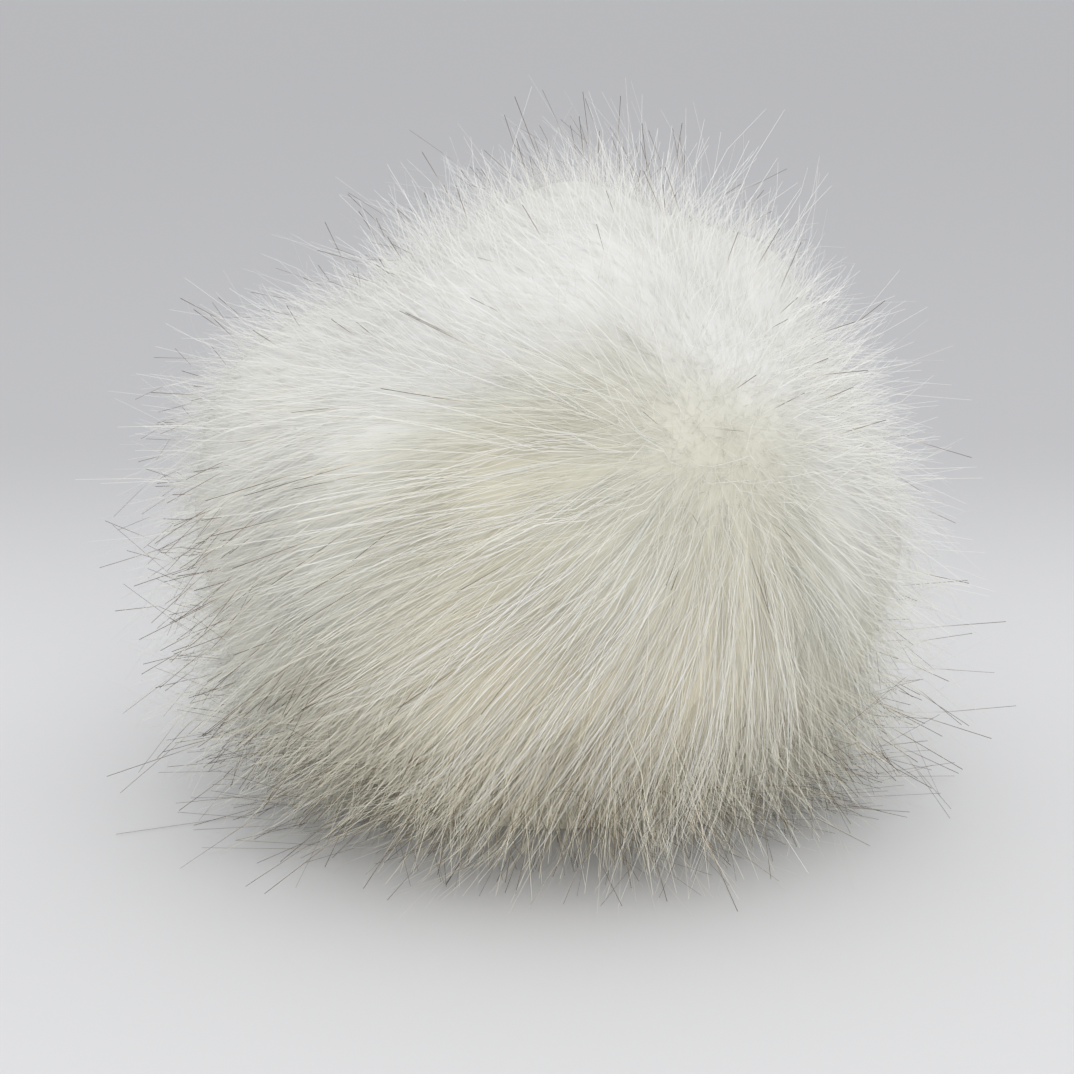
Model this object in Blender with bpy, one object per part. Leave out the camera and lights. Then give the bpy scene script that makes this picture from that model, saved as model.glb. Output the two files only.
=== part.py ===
"""A long-pile fur pompom for a knitted hat, lying on a table.

A round of fur is gathered into a ball, so what shows is one piece: a ball of dense underfur, with long locks
that are fused to it at their roots. The pile parts at a crown on the front and is combed away from it over the
ball. It gathers into a few large tufts with valleys between them, and under the ball it is short and lies on the
table.

Metres. +X is to the right, +Y goes away from the viewer and +Z is up. The origin is on the table, under the
middle of the whole pompom.
"""

import math
import random
from collections import namedtuple

import bmesh
import bpy
from mathutils import Quaternion, Vector

# The ball of underfur. It is flat up to the foot angle from straight down and sags up to the sag angle, in
# degrees. Its lumps are the sum of a wave along each axis, with so many radians to the radius and a start.
MIDDLE_HEIGHT = 0.042
BALL_RADIUS = 0.0375
FOOT_ANGLE = 27.0
SAG_ANGLE = 62.0
LUMP_HEIGHT = 0.0008
LUMP_WAVES = ((5.1, 1.3), (4.3, 2.9), (4.7, 0.4))

# The locks. Each grows on one face of a cube that is blown up to a ball, and turned to lie across it.
FACES_ALONG_EDGE = 7
CUBE_TURN = (21.0, 34.0, 13.0)
UNEVEN = 0.10
LOWEST_LOCK_ANGLE = 37.0
LOCK_RISE = 0.005
BEND_SOFTNESS = 0.3
LOCK_LENGTHS = (0.96, 1.04)
TIP_STRAY = 0.03
SHARP_EDGE_ANGLE = 40.0
SEED = 12

# A lock's sections: how far along it they are, and their width as a share of all the room that the lock has.
Section = namedtuple("Section", "along width")
SECTIONS = (
    Section(along=0.00, width=0.86),
    Section(along=0.34, width=0.68),
    Section(along=0.70, width=0.36),
)

# The comb. The pile parts at the crown and leans away from it, and less at the back. Angles are in degrees.
CROWN_TURN = -62.0
CROWN_RISE = 28.0
LEAN = 30.0
FULL_LEAN_ANGLE = 55.0
LESS_LEAN_ANGLE = 85.0
DROOP = 0.02
SPLAY = 0.36
UNDERSIDE = (0.25, 0.85)

# The tufts that the pile is drawn to, and the dips where it is short. Turn goes round the ball from +X and
# rise is above the horizon, in degrees. Reach is from the ball's middle.
TUFT_PULL = 0.42
TUFT_TIGHTNESS = 10.0
VALLEY_DEPTH = 0.10
Tuft = namedtuple("Tuft", "name turn rise reach")
TUFTS = (
    Tuft("top", 76, 74, 0.0650),
    Tuft("left_dip", 149, 61, 0.0480),
    Tuft("right_dip", 28, 61, 0.0510),
    Tuft("right_shoulder", 15, 42, 0.0640),
    Tuft("right", 1, 3, 0.0630),
    Tuft("lower_right", -12, -30, 0.0660),
    Tuft("upper_left", 171, 30, 0.0670),
    Tuft("left", 179, 3, 0.0650),
    Tuft("lower_left", -169, -28, 0.0670),
    Tuft("front_top", -86, 56, 0.0580),
    Tuft("front_left", -122, 14, 0.0590),
    Tuft("front_right", -32, 4, 0.0600),
    Tuft("front_low_left", -112, -24, 0.0620),
    Tuft("front_low_right", -66, -24, 0.0610),
    Tuft("back_right", 46, -4, 0.0620),
    Tuft("back", 92, 8, 0.0610),
    Tuft("back_left", 138, -6, 0.0620),
    Tuft("back_top", 104, 44, 0.0610),
)


def direction(turn, rise):
    """The unit vector for a turn round the ball and a rise above the horizon."""
    turn = math.radians(turn)
    rise = math.radians(rise)
    return Vector((math.cos(turn) * math.cos(rise), math.sin(turn) * math.cos(rise), math.sin(rise)))


def eased(value, low, high):
    """0 up to low, 1 from high, and a smooth step between."""
    share = min(1.0, max(0.0, (value - low) / (high - low)))
    return share * share * (3 - 2 * share)


MIDDLE = Vector((0.0, 0.0, MIDDLE_HEIGHT))
CROWN = direction(CROWN_TURN, CROWN_RISE)
STRAIGHT_DOWN = Vector((0.0, 0.0, -1.0))


def tufts_here(normal):
    """Where the tufts that share this pile draw it, and its reach, which is less where they draw it apart."""
    centres = [direction(tuft.turn, tuft.rise) for tuft in TUFTS]
    shares = [math.exp(TUFT_TIGHTNESS * (normal.dot(centre) - 1)) for centre in centres]
    total = sum(shares)
    drawn = sum((centre * share for centre, share in zip(centres, shares)), Vector()) / total
    reach = sum(tuft.reach * share for tuft, share in zip(TUFTS, shares)) / total
    apart = (1 - drawn.length) * TUFT_TIGHTNESS
    return drawn, reach * (1 - VALLEY_DEPTH * apart)


def combed(normal):
    """The direction from the ball's middle to the tip of the pile that grows at normal."""
    from_crown = CROWN.angle(normal)
    lean = math.radians(LEAN) * eased(from_crown, 0, math.radians(FULL_LEAN_ANGLE))
    lean *= 1 - eased(from_crown, math.radians(LESS_LEAN_ANGLE), math.pi)
    underside = eased(-normal.z, *UNDERSIDE)
    aim = Quaternion(CROWN.cross(normal), lean * (1 - underside)) @ normal
    aim += tufts_here(normal)[0] * TUFT_PULL * (1 - underside)
    aim += STRAIGHT_DOWN * DROOP * (1 - underside)
    aim += Vector((normal.x, normal.y, 0)).normalized() * SPLAY * underside
    return aim.normalized()


def ball_point(normal):
    """A point of the ball's skin: a little lumpy, flat where it stands, and sagging just above that."""
    lumps = sum(math.sin(rate * part + start) for part, (rate, start) in zip(normal, LUMP_WAVES))
    radius = BALL_RADIUS + LUMP_HEIGHT * lumps
    to_foot_rim = MIDDLE_HEIGHT / math.cos(math.radians(FOOT_ANGLE))
    from_down = math.degrees(STRAIGHT_DOWN.angle(normal))
    if from_down > FOOT_ANGLE:
        sag = 1 - eased(from_down, FOOT_ANGLE, SAG_ANGLE)
        return MIDDLE + normal * (radius + (to_foot_rim - radius) * sag)
    return Vector((normal.x, normal.y, 0)) * (MIDDLE_HEIGHT / -normal.z)


def pile_line(root, length):
    """The root, the bend and the tip of the pile that grows at root, none of them lower than the table."""
    normal = (root - MIDDLE).normalized()
    aim = combed(normal)
    tip = MIDDLE + aim * tufts_here(aim)[1] * length
    if tip.z < 0:
        tip = MIDDLE + aim * (MIDDLE_HEIGHT / -aim.z)
    bend = (root + normal * LOCK_RISE).lerp((root + tip) / 2, BEND_SOFTNESS)
    bend.z = max(bend.z, 0.0)
    return root, bend, tip


def along_line(line, along):
    """The place this share of the way along the pile."""
    root, bend, tip = line
    back = 1 - along
    return root * back * back + bend * 2 * back * along + tip * along * along


def laid_level(corners, heading):
    """The corners turned about heading until their lowest side is level, and raised to lie on the table."""
    middle = sum(corners, Vector()) / len(corners)
    sides = list(zip(corners, corners[1:] + corners[:1]))
    start, end = min(sides, key=lambda side: side[0].z + side[1].z)
    side = (end - start).normalized()
    level = heading.cross(STRAIGHT_DOWN).normalized()
    if side.dot(level) < 0:
        level.negate()
    turn = side.rotation_difference(level)
    turned = [middle + turn @ (corner - middle) for corner in corners]
    lowest = min(corner.z for corner in turned)
    return [corner - Vector((0, 0, lowest)) for corner in turned]


def grow_lock(bm, face, chance):
    """Draws one face of the ball out into a bent, four-sided lock that tapers to a point.

    Its corners follow the pile at their own roots, so that locks side by side are combed alike and stay apart.
    """
    length = chance.uniform(*LOCK_LENGTHS)
    middle = pile_line(face.calc_center_median(), length)
    edges = [pile_line(vertex.co.copy(), length) for vertex in face.verts]
    root, _, tip = middle
    stray = Vector([chance.gauss(0, TIP_STRAY) for _ in range(3)]) * (tip - root).length
    for section in SECTIONS:
        place = along_line(middle, section.along)
        corners = [place.lerp(along_line(edge, section.along), section.width) for edge in edges]
        corners = [corner + stray * section.along ** 2 for corner in corners]
        if min(corner.z for corner in corners) < 0:
            corners = laid_level(corners, tip - root)
        face = bmesh.ops.extrude_discrete_faces(bm, faces=[face])["faces"][0]
        for vertex, corner in zip(face.verts, corners):
            vertex.co = corner
    face = bmesh.ops.extrude_discrete_faces(bm, faces=[face])["faces"][0]
    tip += stray
    tip.z = max(tip.z, 0.0)
    bmesh.ops.pointmerge(bm, verts=face.verts, merge_co=tip)


def blown_up_cube(chance):
    """A cube with even faces, blown up to a ball of radius 1, turned, and made a little uneven."""
    bm = bmesh.new()
    bmesh.ops.create_cube(bm, size=2.0)
    bmesh.ops.subdivide_edges(bm, edges=bm.edges, cuts=FACES_ALONG_EDGE - 1, use_grid_fill=True)
    turn = Quaternion()
    for axis, angle in zip(((1, 0, 0), (0, 1, 0), (0, 0, 1)), CUBE_TURN):
        turn = Quaternion(axis, math.radians(angle)) @ turn
    face_angle = math.radians(90 / FACES_ALONG_EDGE)
    for vertex in bm.verts:
        even = Vector([math.tan(part * math.pi / 4) for part in vertex.co]).normalized()
        stray = Vector([chance.gauss(0, UNEVEN * face_angle) for _ in range(3)])
        vertex.co = (turn @ even + stray).normalized()
    return bm


def fur_ball():
    """The whole pompom: the ball of underfur on its flat foot, with its locks."""
    chance = random.Random(SEED)
    bm = blown_up_cube(chance)
    for vertex in bm.verts:
        vertex.co = ball_point(vertex.co.copy())
    bm.normal_update()
    for face in bm.faces[:]:
        from_down = STRAIGHT_DOWN.angle(face.calc_center_median() - MIDDLE)
        if from_down > math.radians(LOWEST_LOCK_ANGLE):
            grow_lock(bm, face, chance)
    bmesh.ops.recalc_face_normals(bm, faces=bm.faces)
    centre_over_origin(bm)
    mesh = bpy.data.meshes.new("fur_ball")
    bm.to_mesh(mesh)
    bm.free()
    mesh.shade_smooth()
    mesh.set_sharp_from_angle(angle=math.radians(SHARP_EDGE_ANGLE))
    return mesh


def centre_over_origin(bm):
    """Moves the pompom along the table until the origin is under the middle of its box."""
    for axis in (0, 1):
        places = [vertex.co[axis] for vertex in bm.verts]
        middle = (min(places) + max(places)) / 2
        for vertex in bm.verts:
            vertex.co[axis] -= middle


def ivory_fur():
    """Off-white pile with hardly any gloss."""
    material = bpy.data.materials.new("ivory_fur")
    material.use_nodes = True
    shader = material.node_tree.nodes["Principled BSDF"]
    shader.inputs["Base Color"].default_value = (0.86, 0.84, 0.77, 1.0)
    shader.inputs["Roughness"].default_value = 0.8
    shader.inputs["Metallic"].default_value = 0.0
    return material


def main():
    for old in list(bpy.data.objects):
        bpy.data.objects.remove(old)
    mesh = fur_ball()
    mesh.materials.append(ivory_fur())
    ball = bpy.data.objects.new("fur_ball", mesh)
    bpy.context.scene.collection.objects.link(ball)


main()
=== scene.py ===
import math
from collections import namedtuple

import bmesh
import bpy
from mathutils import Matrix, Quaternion, Vector, noise


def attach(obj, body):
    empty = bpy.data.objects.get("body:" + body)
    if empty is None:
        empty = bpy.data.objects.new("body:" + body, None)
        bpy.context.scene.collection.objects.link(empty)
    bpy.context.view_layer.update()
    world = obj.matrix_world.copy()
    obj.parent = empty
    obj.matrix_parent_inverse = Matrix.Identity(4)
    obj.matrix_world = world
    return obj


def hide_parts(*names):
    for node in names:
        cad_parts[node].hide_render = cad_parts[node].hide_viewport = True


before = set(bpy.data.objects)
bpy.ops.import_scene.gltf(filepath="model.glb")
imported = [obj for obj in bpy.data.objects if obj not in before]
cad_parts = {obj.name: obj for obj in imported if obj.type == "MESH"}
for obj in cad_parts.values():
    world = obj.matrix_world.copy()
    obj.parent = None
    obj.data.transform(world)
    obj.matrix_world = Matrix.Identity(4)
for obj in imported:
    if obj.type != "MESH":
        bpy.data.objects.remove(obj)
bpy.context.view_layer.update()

# The ball under the pile: a round of backing cloth, thick with short underfur, gathered into a ball that
# sags onto a flat foot. Each point of it holds how the pile above is combed, how thick it grows, and its
# cream with painted shade and painted light.

MIDDLE = Vector((0.0002, -0.0023, 0.042))
BALL_DETAIL = 5
UNDERFUR_SHARE = 0.865
LUMP_HEIGHT = 0.0022
LUMP_RATE = 3.1
FOOT_CLEARANCE = 0.0002

# Angles are in degrees: from straight down for the foot and the sag, and from the crown for the comb.
FOOT_ANGLE = 24
SAG_ANGLE = 42
CROWN_TURN = -61
CROWN_RISE = 27
LEAN = 46
FULL_LEAN_ANGLE = 32
BACK_LEAN = 0.35
BACK_LEAN_ANGLES = (60, 130)
NO_LEAN_ANGLES = (130, 180)
TUFT_PULL = 0.45
TUFT_PULL_ANGLES = (10, 50)
DROOP = 0.12
DROOP_ANGLES = (20, 70)
SPLAY = 0.6

# The pile stands up more on top, low down and at the sides. The pairs are places on a ball of radius 1.
STANDING_TOP = 0.65
TOP = (0.35, 0.85)
STANDING_BOTTOM = 0.85
BOTTOM = (0.15, 0.6)
STANDING_SIDES = 0.75
SIDES = (0.55, 0.95)
UNDERSIDE = (0.45, 0.95)

# The tufts that the pile is drawn to, and the dips where it is short. Turn goes round the ball from +X and
# rise is above the horizon. Reach is from the ball's middle.
TUFT_TIGHTNESS = 16
VALLEY_DEPTH = 0.05
Tuft = namedtuple("Tuft", "name turn rise reach")
TUFTS = (
    Tuft("top", 76, 74, 0.0590),
    Tuft("top_left", 120, 74, 0.0600),
    Tuft("top_front_left", -130, 72, 0.0590),
    Tuft("left_dip", 152, 57, 0.0440),
    Tuft("left_front_dip", -154, 57, 0.0470),
    Tuft("right_dip", 28, 63, 0.0560),
    Tuft("right_notch", 8, 22, 0.0530),
    Tuft("right_shoulder", 15, 42, 0.0610),
    Tuft("right", 1, -2, 0.0620),
    Tuft("lower_right", -12, -30, 0.0600),
    Tuft("upper_left", 173, 26, 0.0640),
    Tuft("left", 179, 3, 0.0625),
    Tuft("lower_left", -169, -28, 0.0625),
    Tuft("crown", -61, 27, 0.0610),
    Tuft("front_top", -86, 56, 0.0600),
    Tuft("front_left", -130, 10, 0.0600),
    Tuft("front_dip", -104, 8, 0.0550),
    Tuft("front_middle", -78, -2, 0.0610),
    Tuft("front_right", -32, 4, 0.0600),
    Tuft("front_low_left", -112, -24, 0.0580),
    Tuft("front_low_right", -66, -24, 0.0570),
    Tuft("front_foot", -90, -52, 0.0480),
    Tuft("left_foot", -150, -55, 0.0550),
    Tuft("right_foot", -30, -55, 0.0535),
    Tuft("back_right", 46, -4, 0.0610),
    Tuft("back", 92, 8, 0.0600),
    Tuft("back_left", 138, -6, 0.0610),
    Tuft("back_top", 104, 44, 0.0600),
    Tuft("back_upper_right", 60, 32, 0.0600),
    Tuft("back_upper_left", 145, 32, 0.0600),
    Tuft("back_low", 90, -32, 0.0590),
    Tuft("back_low_right", 35, -34, 0.0590),
    Tuft("back_low_left", 142, -34, 0.0590),
    Tuft("back_foot", 90, -62, 0.0520),
)


def direction(turn, rise):
    """The unit vector for a turn round the ball and a rise above the horizon, in degrees."""
    turn = math.radians(turn)
    rise = math.radians(rise)
    return Vector((math.cos(turn) * math.cos(rise), math.sin(turn) * math.cos(rise), math.sin(rise)))


def eased(value, low, high):
    """0 up to low, 1 from high, and a smooth step between."""
    share = min(1.0, max(0.0, (value - low) / (high - low)))
    return share * share * (3 - 2 * share)


CROWN = direction(CROWN_TURN, CROWN_RISE)
STRAIGHT_DOWN = Vector((0, 0, -1))


def tufts_here(normal):
    """Where the tufts that share this pile draw it, and its reach, less where they draw it apart."""
    centres = [direction(tuft.turn, tuft.rise) for tuft in TUFTS]
    shares = [math.exp(TUFT_TIGHTNESS * (normal.dot(centre) - 1)) for centre in centres]
    total = sum(shares)
    drawn = sum((centre * share for centre, share in zip(centres, shares)), Vector()) / total
    reach = sum(tuft.reach * share for tuft, share in zip(TUFTS, shares)) / total
    return drawn, reach * (1 - VALLEY_DEPTH * (1 - drawn.length) * TUFT_TIGHTNESS)


def combed(normal):
    """The direction from the ball's middle to the tip of the pile that grows at normal."""
    from_crown = math.degrees(CROWN.angle(normal))
    lean = LEAN * eased(from_crown, 0, FULL_LEAN_ANGLE)
    lean *= 1 - (1 - BACK_LEAN) * eased(from_crown, *BACK_LEAN_ANGLES)
    lean *= 1 - eased(from_crown, *NO_LEAN_ANGLES)
    lean *= 1 - STANDING_TOP * eased(normal.z, *TOP)
    lean *= 1 - STANDING_BOTTOM * eased(-normal.z, *BOTTOM)
    lean *= 1 - STANDING_SIDES * eased(abs(normal.x), *SIDES)
    underside = eased(-normal.z, *UNDERSIDE)
    aim = Quaternion(CROWN.cross(normal), math.radians(lean) * (1 - underside)) @ normal
    pull = TUFT_PULL * eased(from_crown, *TUFT_PULL_ANGLES) * (1 - underside)
    aim += tufts_here(normal)[0] * pull
    aim += STRAIGHT_DOWN * DROOP * (1 - abs(normal.z)) * eased(from_crown, *DROOP_ANGLES)
    aim += Vector((normal.x, normal.y, 0)).normalized() * SPLAY * underside
    return aim.normalized()


def ball_point(normal):
    """A point of the ball's skin: lumpy, flat where it stands, and sagging just above that."""
    radius = UNDERFUR_SHARE * tufts_here(normal)[1] + LUMP_HEIGHT * noise.noise(normal * LUMP_RATE)
    from_down = math.degrees(STRAIGHT_DOWN.angle(normal))
    if from_down <= FOOT_ANGLE:
        foot = Vector((normal.x, normal.y, 0)) * (MIDDLE.z / -normal.z)
        return Vector((MIDDLE.x + foot.x, MIDDLE.y + foot.y, FOOT_CLEARANCE))
    to_foot_rim = MIDDLE.z / math.cos(math.radians(FOOT_ANGLE))
    sag = 1 - eased(from_down, FOOT_ANGLE, SAG_ANGLE)
    return MIDDLE + normal * (radius + (to_foot_rim - radius) * sag)


# What the ball's points hold besides the comb. A patch is a round area that fades out: its turn and rise
# are as for a tuft, and its edges are cosines of the angle from its middle.
Patch = namedtuple("Patch", "turn rise outer_edge inner_edge amount")
# Painted shade in the middle of the front, and in the dip on its left.
FRONT_PAINTED_SHADE = Patch(-82, 10, 0.72, 0.95, 0.42)
DIP_PAINTED_SHADE = Patch(-104, 11, 0.90, 0.99, 0.12)
PLAIN_CREAM = 0.06
# Painted shade in the valleys between the tufts.
VALLEY_PAINTED_SHADE = 0.08
# Painted shade low down on the ball, most of it in front and less at the sides and behind.
LOW_PAINTED_SHADE = 0.75
LOW = (-0.35, 0.65)
LOW_BEHIND = 0.25
LOW_FRONT_PAINTED_SHADE = Patch(-85, -25, 0.35, 0.85, 0.75)
# Painted light on top: the colour is whiter where the light falls from above.
HIGH_PAINTED_LIGHT = 0.35
HIGH = (0.3, 0.8)
DRIFT_CREAM = 0.16
DRIFT_RATE = 2.7
DRIFT_START = Vector((4, 1, 7))
BARE_FOOT = (0.86, 0.915)
CROWN_GROWTH = 1.5
CROWN_EDGE_ANGLES = (8, 30)
BACK_GROWTH = 0.9
BACK = (0, 0.6)
LEFT_GUARDS = Patch(-145, -12, 0.5, 0.85, 0.65)
FEW_GUARDS = 0.1
LOW_GUARDS = 1.6
LOW_GUARD_EDGES = (0.25, 0.55)
TOP_GUARDS = 0.4
TOP_GUARD_EDGES = (0.7, 0.95)
GUARD_PATCH_RATE = 3.5
GUARD_PATCH_START = Vector((2, 9, 5))
GUARD_PATCH_EDGES = (-0.45, 0.3)
FRINGE_TOP = (0.2, 0.42)
FRINGE_FOOT = (0.86, 0.91)
LOCK_PATCH = Patch(-72, 14, 0.86, 0.97, 1.0)
LOCK_PARTING = (0.985, 0.999)


def patch_here(normal, patch):
    """How much of the patch there is here."""
    facing = normal.dot(direction(patch.turn, patch.rise))
    return patch.amount * eased(facing, patch.outer_edge, patch.inner_edge)


def cream_and_painted_shade_here(normal):
    """The fur's cream, white on the tufts, with painted shade in the valleys, in front and low down,
    and painted light on top.
    """
    valley = VALLEY_PAINTED_SHADE * (1 - tufts_here(normal)[0].length) * TUFT_TIGHTNESS
    low = LOW_PAINTED_SHADE * eased(-normal.z, *LOW) * (LOW_BEHIND + patch_here(normal, LOW_FRONT_PAINTED_SHADE))
    high = HIGH_PAINTED_LIGHT * eased(normal.z, *HIGH)
    drift = DRIFT_CREAM * noise.noise(normal * DRIFT_RATE + DRIFT_START)
    patches = patch_here(normal, FRONT_PAINTED_SHADE) + patch_here(normal, DIP_PAINTED_SHADE)
    return min(1.0, max(0.0, PLAIN_CREAM + valley + low + drift + patches - high))


def growth_here(normal):
    """How thick the pile is: none under the foot, and more at the crown, where it parts, and behind."""
    at_crown = 1 - eased(math.degrees(CROWN.angle(normal)), *CROWN_EDGE_ANGLES)
    at_back = eased(normal.y, *BACK)
    return (1 - eased(-normal.z, *BARE_FOOT)) * (1 + CROWN_GROWTH * at_crown + BACK_GROWTH * at_back)


def guards_here(normal):
    """How many guard hairs stand here: most on the left, the bottom and the top, and few at the front."""
    low = LOW_GUARDS * eased(-normal.z, *LOW_GUARD_EDGES)
    top = TOP_GUARDS * eased(normal.z, *TOP_GUARD_EDGES)
    patches = eased(noise.noise(normal * GUARD_PATCH_RATE + GUARD_PATCH_START), *GUARD_PATCH_EDGES)
    return (FEW_GUARDS + max(patch_here(normal, LEFT_GUARDS), low, top)) * patches * growth_here(normal)


def fringe_here(normal):
    """Where the fringe grows that lies on the table: a belt low on the ball."""
    return eased(-normal.z, *FRINGE_TOP) * (1 - eased(-normal.z, *FRINGE_FOOT))


def locks_here(normal):
    """Where the long locks grow, whose colour is painted lighter: below the crown, so that they fall
    over the valley on its left.
    """
    return patch_here(normal, LOCK_PATCH) * (1 - eased(normal.dot(CROWN), *LOCK_PARTING))


def underfur_ball():
    """The ball's mesh, with the comb and the other measures stored on its points."""
    bm = bmesh.new()
    bmesh.ops.create_icosphere(bm, subdivisions=BALL_DETAIL, radius=1)
    normals = [vertex.co.normalized() for vertex in bm.verts]
    for vertex, normal in zip(bm.verts, normals):
        vertex.co = ball_point(normal)
    mesh = bpy.data.meshes.new("underfur_ball")
    bm.to_mesh(mesh)
    bm.free()
    aims = [part for normal in normals for part in combed(normal)]
    mesh.attributes.new("aim", "FLOAT_VECTOR", "POINT").data.foreach_set("vector", aims)
    measures = {"growth": growth_here, "shade": cream_and_painted_shade_here, "guards": guards_here, "locks": locks_here,
                "fringe": fringe_here}
    for name, measure in measures.items():
        values = [measure(normal) for normal in normals]
        mesh.attributes.new(name, "FLOAT", "POINT").data.foreach_set("value", values)
    mesh.shade_smooth()
    return mesh


# The underfur's look: streaks that run away from the crown, broken up on their way and wandering a little.
STREAKS = 45
STREAK_BREAKS = 6
STREAK_WANDER = 6
STREAK_EDGES = (0.35, 0.62)
STREAK_SHADE = (0.93, 0.92, 0.885)
# The underfur's colour by its cream and painted shade: darkest in the middle, painted shade for the front and
# the valleys, and lighter and yellower again at the end, painted light that lifts the shade low down.
UNDERFUR_PAINTED_SHADE_TONES = ((0.0, (0.70, 0.70, 0.688)), (0.5, (0.60, 0.588, 0.505)), (1.0, (0.75, 0.695, 0.555)))


def ramp(nodes, stops):
    """A colour ramp with these stops, each a position and a colour."""
    node = nodes.new("ShaderNodeValToRGB")
    node.color_ramp.elements.remove(node.color_ramp.elements[1])
    for number, (position, colour) in enumerate(stops):
        stop = node.color_ramp.elements[0] if number == 0 else node.color_ramp.elements.new(position)
        stop.position = position
        stop.color = (*colour, 1)
    return node


def multiplied(nodes, links, first, second):
    """The product of two colours."""
    node = nodes.new("ShaderNodeMix")
    node.data_type = "RGBA"
    node.blend_type = "MULTIPLY"
    node.inputs["Factor"].default_value = 1
    links.new(first, node.inputs["A"])
    links.new(second, node.inputs["B"])
    return node.outputs["Result"]


def underfur_cloth():
    """Dense underfur: fine streaks that run from the crown, in the ball's cream with painted shade, so that
    it is whiter on the tufts than in the painted shade of the valleys.
    """
    material = bpy.data.materials.new("cream_underfur")
    material.use_nodes = True
    nodes, links = material.node_tree.nodes, material.node_tree.links

    def vector(operation, *values):
        """The result of a sum with vectors."""
        node = nodes.new("ShaderNodeVectorMath")
        node.operation = operation
        for socket, value in zip(node.inputs, values):
            if isinstance(value, bpy.types.NodeSocket):
                links.new(value, socket)
            else:
                socket.default_value = value
        return node.outputs["Value" if operation == "DOT_PRODUCT" else "Vector"]

    place = nodes.new("ShaderNodeTexCoord").outputs["Object"]
    outwards = vector("NORMALIZE", vector("SUBTRACT", place, MIDDLE))
    from_crown = vector("MULTIPLY", vector("DOT_PRODUCT", outwards, CROWN), CROWN)
    round_crown = vector("NORMALIZE", vector("SUBTRACT", outwards, from_crown))
    wander = nodes.new("ShaderNodeTexNoise")
    wander.inputs["Scale"].default_value = 5
    wander.inputs["Detail"].default_value = 0
    links.new(outwards, wander.inputs["Vector"])
    lines = vector("ADD", vector("MULTIPLY", round_crown, [STREAKS] * 3),
                   vector("MULTIPLY", from_crown, [STREAK_BREAKS] * 3))
    lines = vector("ADD", lines, vector("MULTIPLY", wander.outputs["Color"], [STREAK_WANDER] * 3))
    streaks = nodes.new("ShaderNodeTexNoise")
    streaks.inputs["Scale"].default_value = 1
    streaks.inputs["Detail"].default_value = 2
    streaks.inputs["Roughness"].default_value = 0.7
    links.new(lines, streaks.inputs["Vector"])
    shade = nodes.new("ShaderNodeAttribute")
    shade.attribute_name = "shade"
    tones = ramp(nodes, UNDERFUR_PAINTED_SHADE_TONES)
    links.new(shade.outputs["Fac"], tones.inputs["Fac"])
    depth = ramp(nodes, tuple(zip(STREAK_EDGES, (STREAK_SHADE, (1, 1, 1)))))
    links.new(streaks.outputs["Fac"], depth.inputs["Fac"])
    colour = multiplied(nodes, links, tones.outputs["Color"], depth.outputs["Color"])
    cloth = nodes["Principled BSDF"]
    cloth.inputs["Roughness"].default_value = 0.95
    cloth.inputs["Specular IOR Level"].default_value = 0.1
    links.new(colour, cloth.inputs["Base Color"])
    return material


def shown(name, mesh):
    """A piece of this mesh, in the scene, that rides on the pompom and stands for its solid."""
    piece = bpy.data.objects.new(name, mesh)
    bpy.context.scene.collection.objects.link(piece)
    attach(piece, "root")
    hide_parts("fur_ball")
    return piece


ball = shown("underfur_ball", underfur_ball())
ball.data.materials.append(underfur_cloth())

# The pile: acrylic hairs knitted into the backing cloth, each tapered and bent over as it is combed, with
# their tips gathered into wisps and locks. Near the table they are turned outwards and lie on it.

# The sizes of one piece of pile. Hairs and wisps are so many to the square metre, the hairs where the measure
# of the ball that Where names is 1. Shortest and longest are shares of the height. Lengths are in metres.
PILE_SIZES = {
    "Hairs": "NodeSocketFloat",
    "Where": "NodeSocketString",
    "Wisps": "NodeSocketFloat",
    "Shortest": "NodeSocketFloat",
    "Longest": "NodeSocketFloat",
    "Height": "NodeSocketFloat",
    "Lock gather": "NodeSocketFloat",
    "Gather": "NodeSocketFloat",
    "Lock stray": "NodeSocketFloat",
    "Wisp stray": "NodeSocketFloat",
    "Hair stray": "NodeSocketFloat",
    "Wave": "NodeSocketFloat",
    "Tilt": "NodeSocketFloat",
    "Root width": "NodeSocketFloat",
    "Tip width": "NodeSocketFloat",
    "Bends": "NodeSocketInt",
    "Seed": "NodeSocketInt",
    "Finish": "NodeSocketMaterial",
}

# How all hairs are made. Lengths are in metres. A pair is the range that each hair or lock draws from.
LOCKS_PER_M2 = 9000.0
LOCK_SEED = 3
HOLD = (0.5, 1.0)
LOCK_HEIGHTS = (0.75, 1.15)
HAIR_HEIGHTS = (0.4, 1.1)
LIE_HEIGHTS = (0.00015, 0.0014)
BALL_REACH = 0.1
RISE_CURVE = 1.3
TAPER_CURVE = 1.6
WAVE_RATE = 70.0
FLOOR_PUSH = 1.0
HAIR_OWN_TONE = 0.6
TONE_CHANCE = 0.2

# A hair's rim has three points, one of them towards the ball, and it is wider than it is thick. On its map
# the tone fills the width but for a margin, and each side of the hair is set a little beside the next.
RIM_POINTS = 3
RIM_RADIUS = 0.5
RIM_TURN = 180
RIM_SHAPE = (0.5, 1.155, 1)
MAP_MARGIN = 0.01
MAP_TONES = 0.96
MAP_SIDES = 0.02


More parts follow.
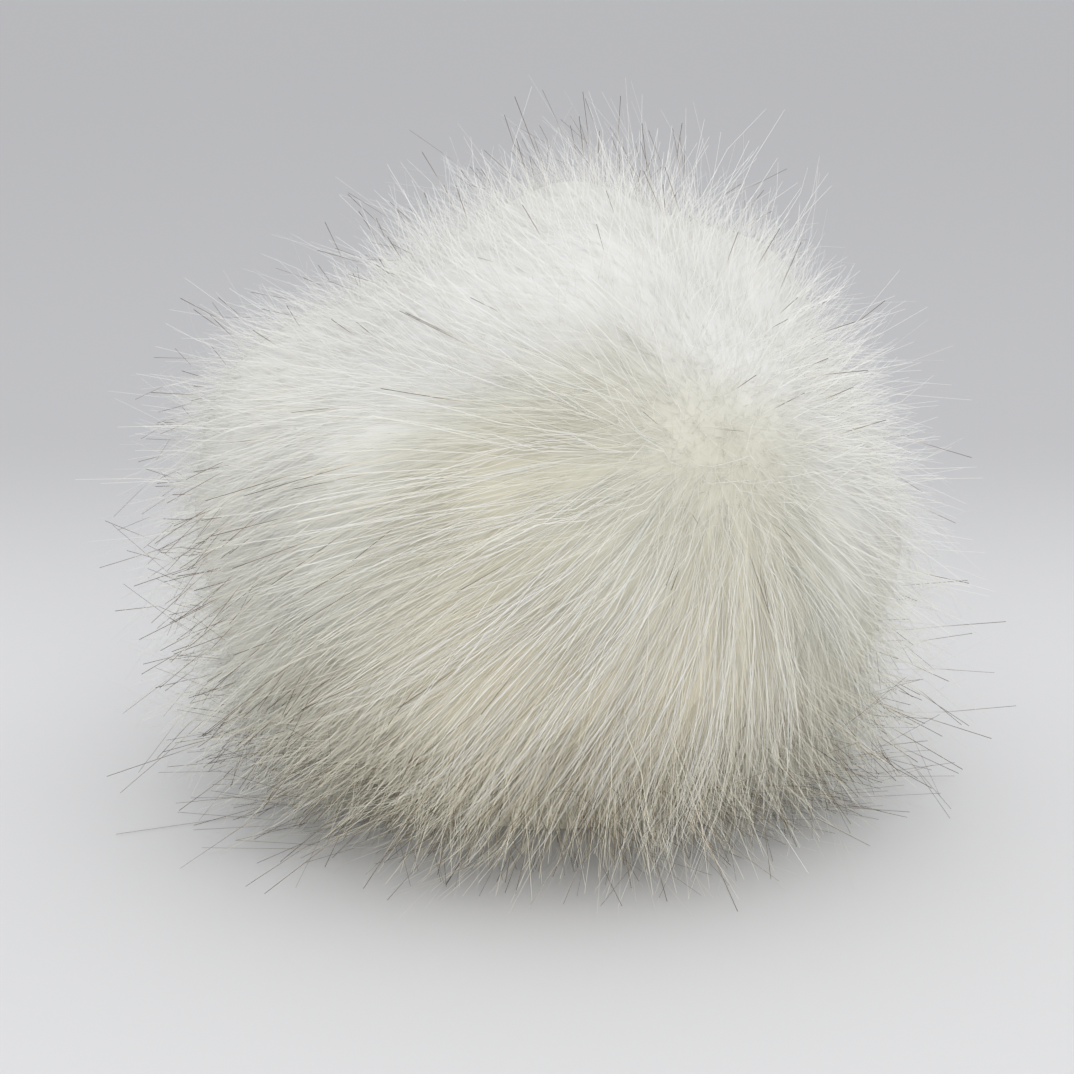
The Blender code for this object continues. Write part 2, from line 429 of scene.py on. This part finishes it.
class PileTree:
    """Builds a Geometry Nodes tree from short calls, one for each step."""

    def __init__(self, name):
        self.tree = bpy.data.node_groups.new(name, "GeometryNodeTree")
        self.tree.interface.new_socket("Geometry", in_out="OUTPUT", socket_type="NodeSocketGeometry")
        self.tree.interface.new_socket("Geometry", in_out="INPUT", socket_type="NodeSocketGeometry")
        for size, kind in PILE_SIZES.items():
            self.tree.interface.new_socket(size, in_out="INPUT", socket_type=kind)
        self.sizes = self.tree.nodes.new("NodeGroupInput").outputs

    def node(self, kind, settings=None, **inputs):
        """A node with these settings, its inputs linked or set by name, with _ for a space."""
        node = self.tree.nodes.new(kind)
        for setting, value in (settings or {}).items():
            setattr(node, setting, value)
        for name, value in inputs.items():
            self.put(node.inputs[name.replace("_", " ")], value)
        return node

    def put(self, socket, value):
        """Links the socket to the value, or sets it."""
        if isinstance(value, bpy.types.NodeSocket):
            self.tree.links.new(value, socket)
        else:
            socket.default_value = value

    def sum(self, operation, *values):
        """The result of a sum with numbers."""
        node = self.tree.nodes.new("ShaderNodeMath")
        node.operation = operation
        for socket, value in zip(node.inputs, values):
            self.put(socket, value)
        return node.outputs[0]

    def vector(self, operation, first, second=(0, 0, 0), scale=1.0):
        """The result of a sum with vectors, or a length."""
        node = self.tree.nodes.new("ShaderNodeVectorMath")
        node.operation = operation
        self.put(node.inputs[0], first)
        if operation == "SCALE":
            self.put(node.inputs["Scale"], scale)
        elif operation not in ("LENGTH", "NORMALIZE"):
            self.put(node.inputs[1], second)
        return node.outputs["Value" if operation in ("LENGTH", "DOT_PRODUCT") else "Vector"]

    def between(self, first, second, share, kind="VECTOR"):
        """The mix of two vectors or two numbers."""
        node = self.tree.nodes.new("ShaderNodeMix")
        node.data_type = kind
        node.clamp_factor = False
        wanted = "VECTOR" if kind == "VECTOR" else "VALUE"
        pair = [socket for socket in node.inputs if socket.type == wanted and socket.name in ("A", "B")]
        self.put(node.inputs[0], share)
        self.put(pair[0], first)
        self.put(pair[1], second)
        results = [socket for socket in node.outputs if socket.type == pair[0].type]
        return results[0]

    def stored(self, name, kind="FLOAT"):
        """What is stored on the geometry under this name."""
        node = self.node("GeometryNodeInputNamedAttribute", {"data_type": kind})
        self.put(node.inputs["Name"], name)
        return node.outputs["Attribute"]

    def store(self, geometry, name, value, kind="FLOAT", domain="POINT"):
        """The geometry with the value stored on it under this name."""
        settings = {"data_type": kind, "domain": domain}
        node = self.node("GeometryNodeStoreNamedAttribute", settings, Geometry=geometry)
        node.inputs["Name"].default_value = name
        self.put(node.inputs["Value"], value)
        return node.outputs["Geometry"]

    def chance(self, low, high, number, salt, kind="FLOAT"):
        """A random number or vector for each whole number, from the tree's seed and the draw's own salt."""
        node = self.tree.nodes.new("FunctionNodeRandomValue")
        node.data_type = kind
        wanted = "VECTOR" if kind == "FLOAT_VECTOR" else "VALUE"
        ends = [socket for socket in node.inputs if socket.name in ("Min", "Max") and socket.type == wanted]
        self.put(ends[0], low)
        self.put(ends[1], high)
        self.put(node.inputs["ID"], number)
        self.put(node.inputs["Seed"], self.sum("ADD", self.sizes["Seed"], salt))
        return [socket for socket in node.outputs if socket.type == wanted][0]

    def at(self, points, value, index, kind="FLOAT"):
        """The value at one of these points."""
        node = self.node("GeometryNodeSampleIndex", {"data_type": kind}, Geometry=points, Index=index)
        self.put(node.inputs["Value"], value)
        return node.outputs["Value"]


def pile_tree():
    """The tree that grows pile on the ball."""
    pile = PileTree("pile")
    sizes = pile.sizes
    density = pile.sum("MULTIPLY", sizes["Hairs"], pile.stored(sizes["Where"]))
    roots = pile.node("GeometryNodeDistributePointsOnFaces", Mesh=sizes["Geometry"], Density=density,
                      Seed=sizes["Seed"]).outputs["Points"]
    wisps = pile.node("GeometryNodeDistributePointsOnFaces", Mesh=sizes["Geometry"], Density=sizes["Wisps"],
                      Seed=pile.sum("ADD", sizes["Seed"], 1)).outputs["Points"]
    locks = pile.node("GeometryNodeDistributePointsOnFaces", Mesh=sizes["Geometry"], Density=LOCKS_PER_M2,
                      Seed=LOCK_SEED).outputs["Points"]

    hair = pile.node("GeometryNodeInputIndex").outputs[0]
    root = pile.node("GeometryNodeInputPosition").outputs[0]
    wisp = pile.node("GeometryNodeSampleNearest", Geometry=wisps, Sample_Position=root).outputs["Index"]
    lock = pile.node("GeometryNodeSampleNearest", Geometry=locks, Sample_Position=root).outputs["Index"]
    share = pile.chance(sizes["Shortest"], sizes["Longest"], hair, 2)
    hold = pile.chance(*HOLD, hair, 3)

    normal = pile.vector("NORMALIZE", pile.vector("SUBTRACT", root, MIDDLE))
    own_aim = pile.stored("aim", "FLOAT_VECTOR")
    aim = pile.between(own_aim, pile.at(locks, own_aim, lock, "FLOAT_VECTOR"),
                       pile.sum("MULTIPLY", sizes["Lock gather"], hold))
    aim = pile.between(aim, pile.at(wisps, own_aim, wisp, "FLOAT_VECTOR"),
                       pile.sum("MULTIPLY", sizes["Gather"], hold))
    for number, salt, stray in ((lock, 12, "Lock stray"), (wisp, 4, "Wisp stray"), (hair, 5, "Hair stray")):
        away = pile.chance((-1, -1, -1), (1, 1, 1), number, salt, "FLOAT_VECTOR")
        aim = pile.vector("ADD", aim, pile.vector("SCALE", away, scale=sizes[stray]))
    aim = pile.vector("NORMALIZE", pile.between(normal, aim, share))
    height = pile.sum("MULTIPLY", sizes["Height"], pile.chance(*LOCK_HEIGHTS, lock, 9))
    height = pile.sum("MULTIPLY", pile.sum("MULTIPLY", height, pile.chance(*HAIR_HEIGHTS, hair, 10)), share)

    points = pile.store(roots, "hair", hair, "INT")
    tilt = pile.chance((-1, -1, -1), (1, 1, 1), hair, 11, "FLOAT_VECTOR")
    tilt = pile.vector("SCALE", tilt, scale=sizes["Tilt"])
    for name, value in (("root", root), ("start", normal), ("end", aim), ("tilt", tilt)):
        points = pile.store(points, name, value, "FLOAT_VECTOR")
    # A hair's tone: mostly the cream and painted shade of the ball where it grows, the rest the random tone
    # of its wisp and its own.
    wisp_tone = pile.chance(0.0, 1.0, wisp, 6)
    tone = pile.between(wisp_tone, pile.chance(0.0, 1.0, hair, 7), HAIR_OWN_TONE, "FLOAT")
    tone = pile.between(pile.sum("SUBTRACT", 1.0, pile.stored("shade")), tone, TONE_CHANCE, "FLOAT")
    points = pile.store(points, "tone", tone)
    points = pile.store(points, "height", height)
    points = pile.store(points, "lie", pile.chance(*LIE_HEIGHTS, hair, 8))

    copies = pile.node("GeometryNodeDuplicateElements", {"domain": "POINT"}, Geometry=points,
                       Amount=pile.sum("ADD", sizes["Bends"], 1))
    step = copies.outputs["Duplicate Index"]
    points = pile.store(copies.outputs["Geometry"], "along", pile.sum("DIVIDE", step, sizes["Bends"]))
    along = pile.stored("along")
    root, start, end = (pile.stored(name, "FLOAT_VECTOR") for name in ("root", "start", "end"))
    heading = pile.vector("NORMALIZE", pile.between(start, end, along))
    middle = pile.node("FunctionNodeInputVector", {"vector": MIDDLE}).outputs[0]
    skin = pile.node("GeometryNodeRaycast", Target_Geometry=sizes["Geometry"], Source_Position=middle,
                     Ray_Direction=heading, Ray_Length=BALL_REACH).outputs["Hit Distance"]
    above = pile.sum("MULTIPLY", pile.stored("height"), pile.sum("POWER", along, RISE_CURVE))
    place = pile.vector("ADD", pile.vector("SCALE", heading, scale=pile.sum("ADD", skin, above)), MIDDLE)
    sway = pile.node("ShaderNodeTexNoise", {"noise_dimensions": "4D"}, Vector=root, W=along,
                     Scale=WAVE_RATE, Detail=2.0)
    sway = pile.vector("SUBTRACT", sway.outputs["Color"], (0.5, 0.5, 0.5))
    sway = pile.vector("SCALE", sway, scale=pile.sum("MULTIPLY", sizes["Wave"], along))
    place = pile.vector("ADD", place, sway)

    split = pile.node("ShaderNodeSeparateXYZ", Vector=place)
    below = pile.sum("MAXIMUM", pile.sum("SUBTRACT", pile.stored("lie"), split.outputs["Z"]), 0.0)
    outwards = pile.vector("NORMALIZE", pile.vector("MULTIPLY", place, (1, 1, 0)))
    push = pile.vector("SCALE", outwards, scale=pile.sum("MULTIPLY", below, FLOOR_PUSH))
    lift = pile.node("ShaderNodeCombineXYZ", Z=below).outputs[0]
    place = pile.vector("ADD", place, pile.vector("ADD", push, lift))
    points = pile.node("GeometryNodeSetPosition", Geometry=points, Position=place).outputs[0]

    lines = pile.node("GeometryNodePointsToCurves", Points=points, Weight=pile.stored("along"),
                      Curve_Group_ID=pile.stored("hair", "INT")).outputs[0]
    outwards = pile.vector("SUBTRACT", pile.node("GeometryNodeInputPosition").outputs[0], MIDDLE)
    outwards = pile.vector("ADD", pile.vector("NORMALIZE", outwards), pile.stored("tilt", "FLOAT_VECTOR"))
    tangent = pile.node("GeometryNodeInputTangent").outputs[0]
    back = pile.vector("SCALE", tangent, scale=pile.vector("DOT_PRODUCT", outwards, tangent))
    facing = pile.vector("NORMALIZE", pile.vector("SUBTRACT", outwards, back))
    lines = pile.node("GeometryNodeSetCurveNormal", {"mode": "FREE"}, Curve=lines, Normal=facing).outputs[0]
    rim = pile.node("GeometryNodeCurvePrimitiveCircle", Resolution=RIM_POINTS, Radius=RIM_RADIUS).outputs[0]
    rim = pile.node("GeometryNodeTransform", Geometry=rim, Rotation=(0, 0, math.radians(RIM_TURN)),
                    Scale=RIM_SHAPE).outputs[0]
    side = pile.sum("DIVIDE", pile.node("GeometryNodeInputIndex").outputs[0], float(RIM_POINTS))
    rim = pile.store(rim, "side", side)
    taper = pile.sum("POWER", pile.stored("along"), TAPER_CURVE)
    width = pile.between(sizes["Root width"], sizes["Tip width"], taper, "FLOAT")
    hairs = pile.node("GeometryNodeCurveToMesh", Curve=lines, Profile_Curve=rim, Scale=width,
                      Fill_Caps=True).outputs[0]
    hairs = pile.node("GeometryNodeSetShadeSmooth", Geometry=hairs, Shade_Smooth=False).outputs[0]
    across = pile.sum("ADD", pile.sum("MULTIPLY", pile.stored("tone"), MAP_TONES), MAP_MARGIN)
    across = pile.sum("ADD", across, pile.sum("MULTIPLY", pile.stored("side"), MAP_SIDES))
    spot = pile.node("ShaderNodeCombineXYZ", X=across, Y=pile.stored("along")).outputs[0]
    hairs = pile.store(hairs, "OFBake", spot, "FLOAT2", "CORNER")
    for name in ("root", "start", "end", "tilt", "hair", "tone", "height", "lie", "along", "side", "aim",
                 "growth", "shade", "guards", "locks", "fringe"):
        remover = pile.node("GeometryNodeRemoveAttribute", Geometry=hairs)
        remover.inputs["Name"].default_value = name
        hairs = remover.outputs[0]
    hairs = pile.node("GeometryNodeRealizeInstances", Geometry=hairs).outputs[0]
    hairs = pile.node("GeometryNodeSetMaterial", Geometry=hairs, Material=sizes["Finish"]).outputs[0]
    out = pile.tree.nodes.new("NodeGroupOutput")
    pile.put(out.inputs[0], hairs)
    return pile.tree


def grown(name, **sizes):
    """A piece of pile that the tree grows on the ball with these sizes, as a plain mesh."""
    bed = bpy.data.objects.new(name + "_bed", ball.data)
    bpy.context.scene.collection.objects.link(bed)
    grower = bed.modifiers.new("pile", "NODES")
    grower.node_group = PILE
    wanted = {key.replace("_", " "): value for key, value in sizes.items()}
    for socket in PILE.interface.items_tree:
        if socket.in_out == "INPUT" and socket.name in wanted:
            grower[socket.identifier] = wanted[socket.name]
    mesh = bpy.data.meshes.new_from_object(bed.evaluated_get(bpy.context.evaluated_depsgraph_get()))
    bpy.data.objects.remove(bed)
    mesh.name = name
    return shown(name, mesh)


def pile_finish(name, tones, length_colours):
    """Soft pile, on its own map: its tones, with the ball's cream and painted shade, run across the map, and
    its length runs up it from the roots.
    """
    material = bpy.data.materials.new(name)
    material.use_nodes = True
    nodes, links = material.node_tree.nodes, material.node_tree.links
    own_map = nodes.new("ShaderNodeUVMap")
    own_map.uv_map = "OFBake"
    spot = nodes.new("ShaderNodeSeparateXYZ")
    links.new(own_map.outputs["UV"], spot.inputs["Vector"])
    across = ramp(nodes, tones)
    links.new(spot.outputs["X"], across.inputs["Fac"])
    along = ramp(nodes, length_colours)
    links.new(spot.outputs["Y"], along.inputs["Fac"])
    colour = multiplied(nodes, links, across.outputs["Color"], along.outputs["Color"])
    hair = nodes["Principled BSDF"]
    hair.inputs["Roughness"].default_value = 0.55
    hair.inputs["Specular IOR Level"].default_value = 0.25
    links.new(colour, hair.inputs["Base Color"])
    return material


PILE = pile_tree()
# The pile's colour across its map: darkest in the middle, painted shade, and lighter and yellower again at
# the end, painted light that lifts the shade low down.
WHITE_PAINTED_SHADE_TONES = ((0.0, (0.76, 0.705, 0.56)), (0.5, (0.62, 0.61, 0.53)), (1.0, (0.745, 0.745, 0.73)))
WHITE_LENGTH = ((0.0, (0.98, 0.975, 0.96)), (0.5, (1.0, 1.0, 0.995)), (1.0, (1.0, 1.0, 1.0)))
white_pile = pile_finish("white_pile", WHITE_PAINTED_SHADE_TONES, WHITE_LENGTH)
grown("underfur", Hairs=490000.0, Where="growth", Wisps=60000.0, Shortest=0.25, Longest=0.6, Height=0.0135,
      Lock_gather=0.1, Gather=0.25, Lock_stray=0.03, Wisp_stray=0.06, Hair_stray=0.14, Wave=0.004, Tilt=0.2,
      Root_width=0.00006, Tip_width=0.00003, Bends=1, Seed=10, Finish=white_pile)
grown("long_pile", Hairs=155000.0, Where="growth", Wisps=40000.0, Shortest=0.5, Longest=1.1, Height=0.0125,
      Lock_gather=0.2, Gather=0.35, Lock_stray=0.08, Wisp_stray=0.10, Hair_stray=0.12, Wave=0.012, Tilt=0.2,
      Root_width=0.00006, Tip_width=0.00004, Bends=3, Seed=100, Finish=white_pile)

# The fringe: the same pile low on the ball, which the ball's weight turns outwards, so that its tips lie
# round the ball on the table.

grown("fringe", Hairs=440000.0, Where="fringe", Wisps=30000.0, Shortest=0.5, Longest=1.3, Height=0.0155,
      Lock_gather=0.15, Gather=0.4, Lock_stray=0.10, Wisp_stray=0.12, Hair_stray=0.16, Wave=0.008, Tilt=0.3,
      Root_width=0.00008, Tip_width=0.00004, Bends=3, Seed=300, Finish=white_pile)

# The locks: long hairs of the same pile below the crown, which cling together and fall down to the
# left over the valley. Their colour is painted lighter than the rest of the pile: painted light where
# they stand out over the shaded valley.

# Lighter tones than the rest of the pile, painted light on the locks, and darker at the low end of the map
# with the ball's painted shade.
PAINTED_LIGHT_LOCK_TONES = ((0.0, (0.64, 0.63, 0.585)), (1.0, (0.76, 0.76, 0.745)))
painted_light_pile = pile_finish("painted_light_pile", PAINTED_LIGHT_LOCK_TONES, WHITE_LENGTH)
grown("painted_light_locks", Hairs=300000.0, Where="locks", Wisps=25000.0, Shortest=0.7, Longest=1.25,
      Height=0.0125, Lock_gather=0.35, Gather=0.55, Lock_stray=0.08, Wisp_stray=0.10, Hair_stray=0.06,
      Wave=0.012, Tilt=0.3, Root_width=0.00009, Tip_width=0.00005, Bends=4, Seed=500, Finish=painted_light_pile)

# The guard hairs: coarser, straight hairs knitted in among the pile, white with ends dyed brown to black.
# Those of the fringe are longer, and reach furthest out over the table.

DARK_ENDS = (
    (0.0, (0.98, 0.97, 0.95)),
    (0.6, (0.9, 0.87, 0.82)),
    (0.74, (0.28, 0.21, 0.155)),
    (1.0, (0.10, 0.075, 0.055)),
)
dark_tipped = pile_finish("dark_tipped_hair", WHITE_PAINTED_SHADE_TONES, DARK_ENDS)
grown("guard_hairs", Hairs=130000.0, Where="guards", Wisps=40000.0, Shortest=0.5, Longest=1.1,
      Height=0.0150, Lock_gather=0.1, Gather=0.2, Lock_stray=0.05, Wisp_stray=0.08, Hair_stray=0.14,
      Wave=0.002, Tilt=0.2, Root_width=0.00009, Tip_width=0.00008, Bends=3, Seed=700, Finish=dark_tipped)
grown("fringe_guards", Hairs=75000.0, Where="fringe", Wisps=20000.0, Shortest=0.6, Longest=1.3,
      Height=0.0185, Lock_gather=0.15, Gather=0.3, Lock_stray=0.10, Wisp_stray=0.16, Hair_stray=0.2,
      Wave=0.004, Tilt=0.2, Root_width=0.00009, Tip_width=0.00008, Bends=3, Seed=1100, Finish=dark_tipped)

# The strays: the longest white hairs of the pile, which have worked loose from their locks and stand out
# of the ball in a thin halo.

grown("stray_hairs", Hairs=62000.0, Where="growth", Wisps=40000.0, Shortest=0.6, Longest=1.1,
      Height=0.0158, Lock_gather=0.1, Gather=0.2, Lock_stray=0.05, Wisp_stray=0.1, Hair_stray=0.2,
      Wave=0.010, Tilt=0.4, Root_width=0.00007, Tip_width=0.00004, Bends=3, Seed=900, Finish=white_pile)

# The table that the pompom lies on: a plain, pale, matt surface. Its colour is painted darker behind
# the ball, between two places along Y in metres: a painted shade where the light falls away.

TABLE_RADIUS = 6.0
TABLE_SIDES = 96
TABLE_PAINTED_FALLOFF = ((0.03, (0.66, 0.66, 0.665)), (0.24, (0.50, 0.50, 0.51)))


def table():
    """A round table top in its matt paint, which is no part of the pompom."""
    mesh = bpy.data.meshes.new("table")
    bm = bmesh.new()
    bmesh.ops.create_circle(bm, cap_ends=True, segments=TABLE_SIDES, radius=TABLE_RADIUS)
    bm.to_mesh(mesh)
    bm.free()
    floor = bpy.data.objects.new("table", mesh)
    bpy.context.scene.collection.objects.link(floor)
    paint = bpy.data.materials.new("pale_table")
    paint.use_nodes = True
    nodes, links = paint.node_tree.nodes, paint.node_tree.links
    surface = nodes["Principled BSDF"]
    place = nodes.new("ShaderNodeSeparateXYZ")
    links.new(nodes.new("ShaderNodeTexCoord").outputs["Object"], place.inputs["Vector"])
    # Painted shade: darker towards the back of the table.
    painted_falloff = ramp(nodes, TABLE_PAINTED_FALLOFF)
    painted_falloff.color_ramp.interpolation = "EASE"
    links.new(place.outputs["Y"], painted_falloff.inputs["Fac"])
    links.new(painted_falloff.outputs["Color"], surface.inputs["Base Color"])
    surface.inputs["Roughness"].default_value = 0.9
    surface.inputs["Specular IOR Level"].default_value = 0.1
    mesh.materials.append(paint)


table()

# The light: two large soft lamps, one above and one in front, in a pale room. A few bounces of light are
# enough for fur this pale, and its colours are shown as they are.

Lamp = namedtuple("Lamp", "name place size watts")
LAMPS = (
    Lamp("above", (0.05, -0.20, 0.80), 0.9, 1.1),
    Lamp("front", (0.10, -0.75, 0.25), 0.7, 2.4),
)
ROOM_COLOUR = (0.96, 0.965, 0.98, 1)
ROOM_STRENGTH = 0.97


def hung(lamp):
    """A round soft lamp, turned to the ball's middle."""
    light = bpy.data.lights.new(lamp.name, "AREA")
    light.shape = "DISK"
    light.size = lamp.size
    light.energy = lamp.watts
    holder = bpy.data.objects.new(lamp.name, light)
    bpy.context.scene.collection.objects.link(holder)
    holder.location = lamp.place
    holder.rotation_euler = (MIDDLE - Vector(lamp.place)).to_track_quat("-Z", "Y").to_euler()


for lamp in LAMPS:
    hung(lamp)
room = bpy.data.worlds.new("room")
room.use_nodes = True
room.node_tree.nodes["Background"].inputs["Color"].default_value = ROOM_COLOUR
room.node_tree.nodes["Background"].inputs["Strength"].default_value = ROOM_STRENGTH
bpy.context.scene.world = room
bpy.context.scene.view_settings.view_transform = "Standard"
bpy.context.scene.cycles.diffuse_bounces = 2
bpy.context.scene.cycles.max_bounces = 4
bpy.context.scene.cycles.debug_use_spatial_splits = True

# The camera, at the photograph's angle: it looks along +Y and down a little. Its lens is in millimetres and
# its elevation in degrees.

ELEVATION = 16
DISTANCE = 0.311
LENS = 70
NEAREST_SEEN = 0.01
METRES_PER_PIXEL = 0.0001486
BALL_PIXEL = (555, 520)
FRAME_PIXELS = 1074


def camera():
    """The camera, with the ball's middle on the pixel where the photograph has it."""
    down = math.radians(ELEVATION)
    back = Vector((0, -math.cos(down), math.sin(down)))
    up = Vector((0, math.sin(down), math.cos(down)))
    right = Vector((1, 0, 0))
    aside = (BALL_PIXEL[0] - FRAME_PIXELS / 2) * METRES_PER_PIXEL
    above = (FRAME_PIXELS / 2 - BALL_PIXEL[1]) * METRES_PER_PIXEL
    target = MIDDLE - right * aside - up * above
    data = bpy.data.cameras.new("camera")
    data.lens = LENS
    data.clip_start = NEAREST_SEEN
    eye = bpy.data.objects.new("camera", data)
    bpy.context.scene.collection.objects.link(eye)
    eye.location = target + back * DISTANCE
    eye.rotation_euler = (-back).to_track_quat("-Z", "Y").to_euler()
    bpy.context.scene.camera = eye


camera()
